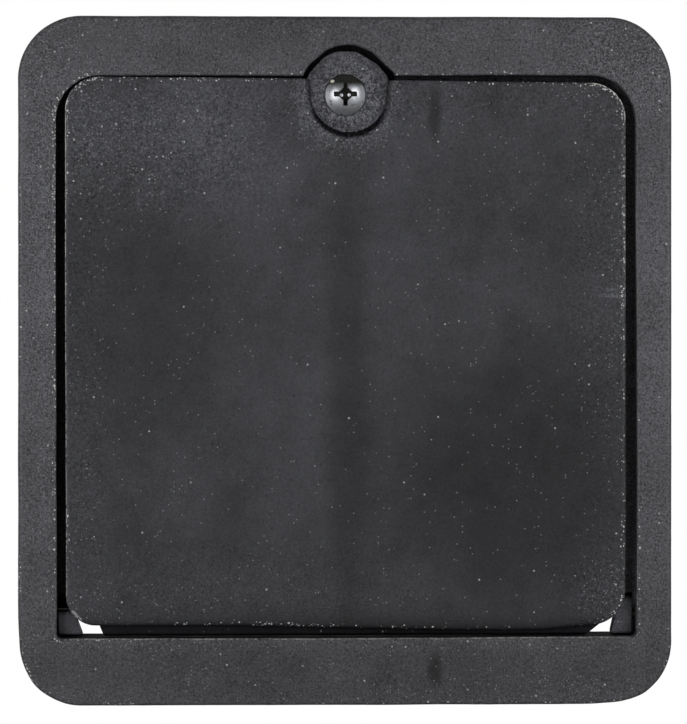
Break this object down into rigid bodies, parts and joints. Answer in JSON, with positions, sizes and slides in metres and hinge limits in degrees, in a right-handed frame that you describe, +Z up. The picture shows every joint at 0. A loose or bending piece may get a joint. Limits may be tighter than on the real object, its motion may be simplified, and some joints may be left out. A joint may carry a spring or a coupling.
{
  "type": "hinged flue door",
  "caption": "Cast iron flue door in a frame plate with a wall collar, hinged at its foot on side pins and held shut by a round-head screw in a recessed tab at its head.",
  "frame": {"origin": "centre of the frame plate's outline, on the plate's back face, which bears against the wall round the flue", "axes": "+X to the right as the door is faced, +Y back into the flue, +Z up; the door's face looks along -Y"},
  "size_m": [0.2286, 0.0211, 0.2414],
  "materials": {
    "frame_iron": "satin black paint on sand-cast iron",
    "door_iron": "worn satin black paint on sand-cast iron",
    "pin_steel": "dull steel",
    "screw_steel": "bright zinc plate"
  },
  "bodies": {
    "frame": {"frame": "frame_iron", "hinge_pin_left": "pin_steel", "hinge_pin_right": "pin_steel"},
    "door": {"door": "door_iron"},
    "screw": {"latch_screw": "screw_steel"}
  },
  "joints": [
    {"name": "door_hinge", "type": "hinge", "parent": "frame", "child": "door", "pos_m": [0, 0.003, -0.08865], "axis": [1, 0, 0], "range_deg": [0, 90]},
    {"name": "latch_screw_slide", "type": "slide", "parent": "door", "child": "screw", "axis": [0, -1, 0], "range_m": [0, 0.009]}
  ]
}
